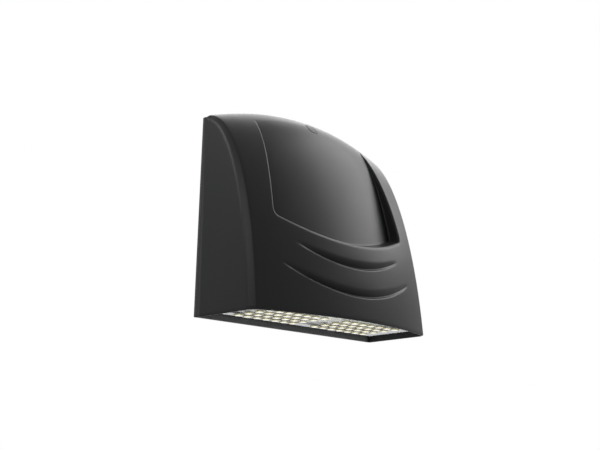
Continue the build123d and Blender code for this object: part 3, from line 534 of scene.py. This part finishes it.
# %% One row from the middle of the front to the side's facet
def half_row(curve, inset, t_of, sink=None, roll=0.0):
    """Front points of a row, then its facet. roll, in radians, carries the row round the
    top edge, on an arc of 6 mm that starts where the skin is 8.8 mm deep."""
    cut = max(0.3, facet - inset * (2 - 2 ** 0.5))
    x, t, z = settle(curve, inset, cut, t_of)
    depth = depth_at(curve, x, t)
    if sink is not None:
        depth = sink(x, z, depth)
    edge_x = x[-1] + cut * 0.93
    edge = np.array([edge_x, depth_at(curve, edge_x, t[-1]), height_at(curve, edge_x, t[-1])])
    ahead = np.array([depth_at(curve, edge_x, t[-1] + 1e-3),
                      height_at(curve, edge_x, t[-1] + 1e-3)])
    way = (ahead - edge[1:]) / np.hypot(*(ahead - edge[1:]))
    inward = np.array([-way[1], way[0]])
    if roll:
        depth = depth - top_round * np.sin(roll)
        z = z - top_round * (1 - np.cos(roll))
        edge[1:] += [-top_round * np.sin(roll), -top_round * (1 - np.cos(roll))]
        inward = np.array([np.sin(roll), -np.cos(roll)])
    front = np.stack([x, depth, z], axis=1)
    narrow = 0.60 + 0.40 * np.clip((edge[1] - 8.0) / 62.0, 0.0, 1.0)
    room = max(0.12, min(cut * narrow, 0.42 * (edge[1] - rim_gap)))
    if roll or room < cut:
        shift = (cut - room) * 0.93
        front[-7:, 0] += shift * np.linspace(0.0, 1.0, 7)
    sag = inward[1] * room * np.clip(edge[2] / 25.0, 0.0, 1.0)
    inner_edge = np.array([edge[0] - sag * side_lean, edge[1] + inward[0] * room, edge[2] + sag])
    e = min(1.1, 0.4 * room)
    start = front[-1]
    to_front = (front[-2] - start) / np.linalg.norm(front[-2] - start)
    across = (inner_edge - start) / np.linalg.norm(inner_edge - start)
    first = quadratic(start + e * to_front, start, start + e * across, 5)
    return front[:-1], first, (start + inner_edge)[None] / 2, inner_edge, across, e


def full_rows(rows):
    """Complete rows, left back edge to right back edge. Each side's back edge climbs evenly
    with the facet beside it, and the left half mirrors the right."""
    edges = np.array([row[3] for row in rows])
    steps = np.linalg.norm(np.diff(edges, axis=0), axis=1)
    climb = np.concatenate([[0.0], np.cumsum(steps)])
    back_z = edges[0, 2] + (edges[-1, 2] - edges[0, 2]) * climb / climb[-1]
    reach = np.concatenate([[0.03, 0.08, 0.15], np.linspace(0.24, 1.0, 9)])[:, None]
    made = []
    for (front, first, middle, corner, across, e), z_back in zip(rows, back_z):
        x_back = corner[0] - (z_back - corner[2]) * side_lean
        last = np.array([x_back, rim_gap, z_back])
        away = (last - corner) / max(1e-6, np.linalg.norm(last - corner))
        e = min(1.8 * e, 0.4 * np.linalg.norm(last - corner) + 1e-6)
        second = quadratic(corner - e * across, corner, corner + e * away, 5)
        side = second[-1] + (last - second[-1]) * reach
        right_half = np.concatenate([front, first, middle, second, side])
        left_half = right_half[:0:-1] * [-1, 1, 1]
        made.append(np.concatenate([left_half, right_half]))
    return np.array(made)


# %% [markdown]
# ## The hood itself
# The casting is one closed shell, 3 mm thick: rows climb the outside from the rim to the top,
# roll over the back edge and come down again inside. A Solidify modifier would do the same
# for an even skin, but here the inside follows the panel and not the small gills.

# %% Hood shell
def outer_sink(x, z, depth):
    """Outside of the casting: the skin less the panel and the gills."""
    return depth - panel_sink(x, z) - gill_sinking(x, z)


def inner_sink(x, z, depth):
    """Inside of the casting: the inner skin, but a wall's thickness behind the panel."""
    skin = depth_at(skin_curve, x, t_at(skin_curve, x, z))
    return np.minimum(depth, skin - panel_sink(x, z) - gill_sinking(x, z) - wall)


def rim_rows(curve, inset, sign):
    """Two rows that round the rim off, at (further inset, height) of 0.8, 0 and 0.25, 0.25."""
    rows = []
    for more, z in ((0.8, 0.0), (0.25, 0.25)):
        shifted = set_in(skin_curve, inset + sign * more)
        rows.append(half_row(shifted, inset + sign * more, lip_row(shifted, z, 0.0, 96.0)))
    return rows


def outside_rows():
    """Rows of the outside: rim, gills, panel lip, front, then round the top edge."""
    lips = [(c + o, k, r) for c, k, r in (gill_lips[1], gill_lips[0]) for o in gill_bunch]
    lips = [(z, 0.0, 92.0) for z in (0.8, 4.0)] + [
        (8.5, 0.9e-3, 92.0), (13.5, 1.7e-3, 92.0), (18.0, 2.3e-3, 92.0)] + lips
    lips.insert(5 + len(gill_bunch), (43.0, 2.9e-3, 84.0))
    lips += [(panel_lip + o / 0.62, panel_lip_bend, 96.0) for o in bunch]
    rows = rim_rows(skin_curve, 0.0, 1)
    rows += [half_row(skin_curve, 0.0, lip_row(skin_curve, *lip), outer_sink) for lip in lips]
    back_depth = rim_gap + top_round
    rows += [half_row(skin_curve, 0.0, top_row(skin_curve, share, back_depth), outer_sink)
             for share in np.linspace(0.0, 1.0, 56)[1:]]
    rows += [half_row(skin_curve, 0.0, top_row(skin_curve, 1.0, back_depth), outer_sink, roll)
             for roll in np.radians([12, 24, 36, 48, 60])]
    return rows


def inside_rows():
    """Rows of the inside, from the rim up to the back edge."""
    inner = set_in(skin_curve, wall)
    rows = rim_rows(inner, wall, -1)
    rows += [half_row(inner, wall, lip_row(inner, z, bend, 92.0), inner_sink)
             for z, bend in zip(np.linspace(0.8, 84.0, 22), np.linspace(0.0, 2.2e-3, 22))]
    rows += [half_row(inner, wall, top_row(inner, share, rim_gap + 0.8), inner_sink)
             for share in np.linspace(0.0, 1.0, 34)[1:]]
    return rows


def to_row_frame(points):
    """Millimetres of X, depth and height over the rim become metres in the part's frame."""
    return np.stack([points[..., 0], -points[..., 1], points[..., 2] - box_height], -1) / 1000


def new_piece(name, points, faces, material, body, smooth=True):
    """Mesh object from points in metres and faces, riding on a body."""
    mesh = bpy.data.meshes.new(name)
    mesh.from_pydata(points.reshape(-1, 3).tolist(), [], faces)
    mesh.update()
    mesh.materials.append(material)
    mesh.polygons.foreach_set("use_smooth", np.full(len(mesh.polygons), smooth))
    made = bpy.data.objects.new(name, mesh)
    bpy.context.scene.collection.objects.link(made)
    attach(made, body)
    print(name, len(mesh.vertices), "points", len(mesh.polygons), "faces")
    return made


def grid_faces(rows, columns, wrap_rows=False, wrap_columns=False):
    """Four-sided faces between neighbouring points of a grid, as index quadruples."""
    a = np.arange(rows if wrap_rows else rows - 1)[:, None]
    b = np.arange(columns if wrap_columns else columns - 1)[None, :]
    a2, b2 = (a + 1) % rows, (b + 1) % columns
    quads = np.stack([a * columns + b, a * columns + b2, a2 * columns + b2, a2 * columns + b], -1)
    return quads.reshape(-1, 4).tolist()


outer = full_rows(outside_rows())
inner = full_rows(inside_rows())
loop = np.concatenate([outer, inner[::-1]])
count, width = loop.shape[:2]
faces = grid_faces(count, width, wrap_rows=True)
faces.append([row * width for row in range(count)])
faces.append([row * width + width - 1 for row in range(count)][::-1])
hood_shell = new_piece("hood_shell", to_row_frame(loop), faces, hood_coat, "hood")
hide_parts("hood_casting")

# %% [markdown]
# ## Ledge and knuckles
# Inside the mouth a ledge carries the lens, and two knuckles under the roof take the hinge
# pins. They are flat castings, so a flat curve with holes, given a thickness and a soft edge,
# says what they are in a few lines.

# %% Flat castings
def flat_plate(name, outlines, thickness, soft, turn, material, body):
    """Plate from closed outlines in millimetres, the first outside and the others holes. turn
    places the outline's plane, and the plate's middle, in the row frame."""
    curve = bpy.data.curves.new(name, "CURVE")
    curve.dimensions, curve.fill_mode = "2D", "BOTH"
    curve.extrude, curve.bevel_depth, curve.bevel_resolution = thickness / 2 - soft, soft, 1
    curve.offset = -soft
    for outline in outlines:
        spline = curve.splines.new("POLY")
        spline.points.add(len(outline) - 1)
        zeros, ones = np.zeros((len(outline), 1)), np.ones((len(outline), 1))
        spline.points.foreach_set("co", np.concatenate([outline, zeros, ones], 1).ravel())
        spline.use_cyclic_u = True
    holder = bpy.data.objects.new(name + "_curve", curve)
    mesh = bpy.data.meshes.new_from_object(holder)
    bpy.data.objects.remove(holder)
    mesh.name = name
    mesh.transform(turn)
    mesh.materials.clear()
    mesh.materials.append(material)
    made = bpy.data.objects.new(name, mesh)
    bpy.context.scene.collection.objects.link(made)
    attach(made, body)
    print(name, len(mesh.vertices), "points")


def arc(centre, radius, first, last, count):
    """Points on a circle between two angles in degrees."""
    angle = np.radians(np.linspace(first, last, count))
    return np.stack([centre[0] + radius * np.cos(angle), centre[1] + radius * np.sin(angle)], 1)


def rounded_box(x0, x1, y0, y1, radius, count=7):
    """Outline of a rectangle between two X and two Y, with round corners."""
    return np.concatenate([arc((x1 - radius, y1 - radius), radius, 0, 90, count),
                           arc((x0 + radius, y1 - radius), radius, 90, 180, count),
                           arc((x0 + radius, y0 + radius), radius, 180, 270, count),
                           arc((x1 - radius, y0 + radius), radius, 270, 360, count)])


ledge_curve = set_in(skin_curve, wall - 0.6)
front_xs = np.linspace(-119.5, 119.5, 61)
front_arc = np.stack([front_xs, -depth_at(ledge_curve, front_xs,
                                          t_at(ledge_curve, front_xs, 12.5))], 1)
lock_place, slot_half = np.array([-112.0, -13.0]), 3.25
ledge_outline = np.concatenate([
    front_arc, [[124.0, -75.0], [124.0, -6.0], [lock_place[0] + slot_half, -6.0]],
    arc(lock_place, slot_half, 0, -180, 13),
    [[lock_place[0] - slot_half, -6.0], [-124.0, -6.0], [-124.0, -75.0]]])
low_corner, high_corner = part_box("led_board_right")
window = rounded_box(-high_corner.x * 1000 - 1.5, high_corner.x * 1000 + 1.5,
                     low_corner.y * 1000 - 1.5, high_corner.y * 1000 + 1.5, 3.0)
lens_top_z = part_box("lens_gasket")[1].z * 1000
ledge_turn = Matrix.Scale(0.001, 4) @ Matrix.Translation((0, 0, lens_top_z + 2.0))
flat_plate("hood_ledge", [ledge_outline, window[::-1]], 4.0, 0.3, ledge_turn, hood_coat, "hood")

pin_low, pin_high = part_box("hinge_pins")
pivot = np.array([(pin_low.y + pin_high.y) / 2, (pin_low.z + pin_high.z) / 2]) * 1000
knuckle_radius, bore_radius, knuckle_middle = 5.0, 2.05, 43.3
knuckle_outline = np.concatenate([
    arc(pivot, knuckle_radius, 180, 360, 25),
    [[pivot[0] + knuckle_radius, pivot[1] + 4.0], [pivot[0] - knuckle_radius, pivot[1] + 5.0]]])
bore = arc(pivot, bore_radius, 360, 15, 24)
for side, name in ((-1, "hood_knuckle_left"), (1, "hood_knuckle_right")):
    axes = Matrix(((0, 0, 1, side * knuckle_middle), (1, 0, 0, 0), (0, 1, 0, 0), (0, 0, 0, 1)))
    flat_plate(name, [knuckle_outline, bore], 9.0, 0.3, Matrix.Scale(0.001, 4) @ axes,
               hood_coat, "hood")

# %% [markdown]
# ## The plug near the top
# A round-cornered plug closes the hole for a light sensor. It follows the crown, with a low
# raised border, like a moulded cap. It carries nothing on its face.

# %% Sensor plug
def plug_surface(rings=26, spokes=96):
    """Cap: spokes run from its middle to a rounded rectangle's edge. Its height over the skin
    is 0.15 mm, with a border 0.15 mm higher, and its skirt reaches 4.5 mm in."""
    angle = np.linspace(0, 2 * np.pi, spokes, endpoint=False)
    half_w, half_l, power = 6.0, 7.5, 4.5
    edge = (np.abs(np.cos(angle) / half_w) ** power + np.abs(np.sin(angle) / half_l) ** power) ** (
        -1 / power)
    share = np.concatenate([np.linspace(0.02, 0.84, 12), np.linspace(0.87, 1.0, rings - 16),
                            [1.0, 1.0, 1.0, 1.0]])
    border = np.clip((share - 0.84) / 0.03, 0, 1) * np.clip((0.99 - share) / 0.03, 0, 1)
    raise_by = 0.15 + 0.15 * border
    raise_by[-5:] = [0.12, 0.0, -0.3, -1.0, -4.5]
    u = share[:, None] * edge * np.cos(angle)
    w = share[:, None] * edge * np.sin(angle)
    t = np.linspace(0.3, 0.99, 500)
    line = np.stack([cubic(skin_curve[:, 0], t), cubic(skin_curve[:, 1], t)], 1)
    length = np.concatenate([[0], np.cumsum(np.hypot(*np.diff(line, axis=0).T))])
    middle = np.interp(plug_middle_height, line[:, 1], length)
    place = np.interp(middle + w, length, t)
    depth, height = depth_at(skin_curve, u, place), height_at(skin_curve, u, place)
    sunk = panel_sink(u, height)
    ahead = np.stack([depth_at(skin_curve, u, place + 1e-3) - depth,
                      height_at(skin_curve, u, place + 1e-3) - height])
    ahead = ahead / np.hypot(*ahead)
    depth = depth - sunk + ahead[1] * raise_by[:, None]
    height = height - ahead[0] * raise_by[:, None]
    return np.stack([u, depth, height], -1)


cap = plug_surface()
cap_faces = grid_faces(*cap.shape[:2], wrap_columns=True)
cap_faces.append(list(range(cap.shape[1]))[::-1])
cap_faces.append([(cap.shape[0] - 1) * cap.shape[1] + i for i in range(cap.shape[1])])
sensor_cap = new_piece("sensor_plug_cap", to_row_frame(cap), cap_faces, plug_plastic, "hood")
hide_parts("sensor_plug")

# %% [markdown]
# ## The diodes
# Each board carries four rows of diodes. A real one is a square white package with a dome of
# clear resin over yellow phosphor. Fifty-six of them must stay light, so one profile is
# turned once, with a square that becomes a circle, and copied by adding its place. The same
# way gives each diode a low round optic on the cover's face.

# %% Diode packages and domes
def turned(heights, halves, powers, spokes):
    """Rings that shrink along the profile. Each is a superellipse: its power is 8 for a
    rounded square and 2 for a circle."""
    angle = np.linspace(0, 2 * np.pi, spokes, endpoint=False)[None, :]
    power = np.array(powers)[:, None]
    radius = np.array(halves)[:, None] * (np.abs(np.cos(angle)) ** power
                                          + np.abs(np.sin(angle)) ** power) ** (-1 / power)
    z = np.broadcast_to(np.array(heights)[:, None], radius.shape)
    return np.stack([radius * np.cos(angle), -radius * np.sin(angle), z], -1)


def copies(name, ring_set, places, material):
    """The same closed form at each place, as one mesh: its rings as quads and two end caps."""
    rings, spokes = ring_set.shape[:2]
    one = np.array(grid_faces(rings, spokes, wrap_columns=True))
    size = rings * spokes
    points = ring_set.reshape(1, size, 3) + places[:, None, :]
    quads = (one[None] + np.arange(len(places))[:, None, None] * size).reshape(-1, 4).tolist()
    start = [list(range(k * size, k * size + spokes))[::-1] for k in range(len(places))]
    end = [list(range((k + 1) * size - spokes, (k + 1) * size)) for k in range(len(places))]
    return new_piece(name, points / 1000, quads + start + end, material, "hood")


board_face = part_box("led_board_right")[0].z * 1000
for side, name in ((-1, "left"), (1, "right")):
    xs, ys = np.meshgrid(side * 1000 * (first_x + pitch_x * np.arange(7)),
                         -1000 * (first_y + pitch_y * np.arange(4)))
    places = np.stack([xs.ravel(), ys.ravel(), np.full(xs.size, board_face)], 1)
    package = turned([0.0, -0.55, -0.7, -0.7], [3.0, 3.0, 2.85, 2.5], [8, 8, 8, 6], 24)
    copies("diode_packages_" + name, package, places, phosphor)
    slope = np.radians([0, 12, 26, 40, 55, 70, 82])
    dome = turned([-0.5] + list(-0.95 - 0.95 * np.sin(slope)), [4.3] + list(4.25 * np.cos(slope)),
                  [2] * 8, 28)
    domes = copies("diode_domes_" + name, dome, places, resin)
    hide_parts("led_chips_" + name)
    bulge = turned([0.2, 0.0] + list(-0.3 - 1.3 * np.sin(slope)),
                   [4.7, 4.7] + list(4.6 * np.cos(slope)), [2] * 9, 28)
    cover_face = places - [0, 0, board_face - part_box("lens")[0].z * 1000]
    copies("cover_optics_" + name, bulge, cover_face, optic)

# %% [markdown]
# ## Finishes of the CAD pieces
# The other solids keep their CAD shape, which is exact, and only get their finish. Every node
# is named here once, so a piece that was forgotten stops the script.

# %% Assign finishes
finishes = {
    plate_coat_painted_light: ["wall_plate"], seal_foam: ["wall_seal"],
    bush_rubber: ["wire_grommet", "lead_grommet"], green_plating: ["ground_screw"],
    plated_steel: ["hinge_pins", "hinge_clips", "lock_washer", "lock_screw", "lens_screws",
                   "heat_sink_screws", "board_screws", "tray_screws", "driver_screws",
                   "driver_standoffs", "plug_retainer"],
    hood_coat: ["hood_casting"], plug_plastic: ["sensor_plug"], cover_clear: ["lens"],
    gasket_silicone: ["lens_gasket"], drawn_aluminium: ["heat_sink"],
    sheet_aluminium: ["driver_tray", "driver_case", "driver_lid"],
    board_white: ["led_board_left", "led_board_right"],
    phosphor: ["led_chips_left", "led_chips_right"],
    pad_grey: ["thermal_pad_left", "thermal_pad_right"],
    ivory_plastic: ["board_connector_left", "board_connector_right"],
    green_mask: ["driver_board"], tape_yellow: ["driver_transformer"],
    sleeve_blue: ["driver_capacitors"], black_plastic: ["terminal_block"],
    red_skin: ["positive_lead"], black_skin: ["negative_lead", "line_lead"],
    white_skin: ["jumper_lead", "neutral_lead"]}
finish_of = {node: finish for finish, nodes in finishes.items() for node in nodes}
for node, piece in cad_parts.items():
    piece.data.materials.clear()
    piece.data.materials.append(finish_of[node])
print(len(finish_of), "nodes finished")

# %% [markdown]
# ## Floor, background and lamps
# The light is shown against plain white, as in a catalogue. The floor lies far below it, so it
# only throws pale light up, and its own glow is for the camera alone. The world is white for
# the camera, for reflections and through the cover. Two large lamps from the upper right give
# the satin front its long highlight.

# %% Stage
floor_mesh = bpy.data.meshes.new("floor")
floor_mesh.from_pydata([(-6, -6, -1.7), (6, -6, -1.7), (6, 6, -1.7), (-6, 6, -1.7)], [],
                       [(0, 1, 2, 3)])
floor = bpy.data.objects.new("floor", floor_mesh)
bpy.context.scene.collection.objects.link(floor)
floor_paint, floor_shader, floor_place = new_material("floor_paint")
camera_ray = floor_place.node("ShaderNodeLightPath")
plug_in(floor_shader, Roughness=0.9, Emission_Strength=1.0,
        Base_Color=floor_place.noise(3.0).blend((0.78, 0.78, 0.78, 1), (0.84, 0.84, 0.84, 1)),
        Emission_Color=camera_ray.blend((0.0, 0.0, 0.0, 1), (0.5, 0.5, 0.5, 1)))
floor_mesh.materials.append(floor_paint)

world = bpy.data.worlds.new("world")
bpy.context.scene.world = world
world.use_nodes = True
sky = world.node_tree
paper = sky.nodes["Background"]
paper.inputs["Color"].default_value = (1, 1, 1, 1)
air = Wire(sky, sky.nodes.new("ShaderNodeTexCoord").outputs["Generated"])
path = sky.nodes.new("ShaderNodeLightPath")
seen = (Wire(sky, path.outputs["Is Camera Ray"]) + Wire(sky, path.outputs["Is Glossy Ray"])
        + Wire(sky, path.outputs["Is Transmission Ray"]))


def glow(direction, start, rate):
    """From 0 to 1 as a ray turns towards a direction, by their dot product."""
    toward = air.node("ShaderNodeVectorMath", {"operation": "DOT_PRODUCT"}, "Value", _0=air,
                      _1=direction)
    return ((toward - start) * rate).clamp(0.0, 1.0)


from_above, from_left = glow((0.60, -0.02, 0.80), 0.70, 3.6), glow((-0.87, 0.48, 0.10), 0.30, 1.6)
soft = 0.03 + 0.8 * from_above + 0.6 * from_left
strength = seen.clamp() + (1.0 - seen.clamp()) * soft
sky.links.new(strength.socket, paper.inputs["Strength"])


def lamp(name, place, target, size, power):
    """Square area lamp that faces a target."""
    light = bpy.data.lights.new(name, "AREA")
    light.shape, light.size, light.energy = "SQUARE", size, power
    made = bpy.data.objects.new(name, light)
    bpy.context.scene.collection.objects.link(made)
    made.location = place
    made.rotation_euler = (Vector(target) - Vector(place)).to_track_quat("-Z", "Y").to_euler()


lamp("lamp_high_right", (0.75, 0.55, 0.95), (0.0, -0.06, 0.02), 1.0, 8.5)
lamp("lamp_right", (1.05, -0.40, 0.75), (0.0, -0.08, 0.0), 0.8, 12.0)
lamp("lamp_left", (-0.62, 0.22, 0.42), (-0.1, -0.03, 0.05), 0.3, 2.8)
lamp("lamp_left_front", (-1.0, -0.32, 0.42), (-0.1, -0.05, 0.0), 0.35, 2.6)
lamp("lamp_under", (0.0, -0.15, -0.75), (0.0, -0.05, -0.1), 0.6, 5.6)
bpy.context.scene.view_settings.view_transform = "Standard"
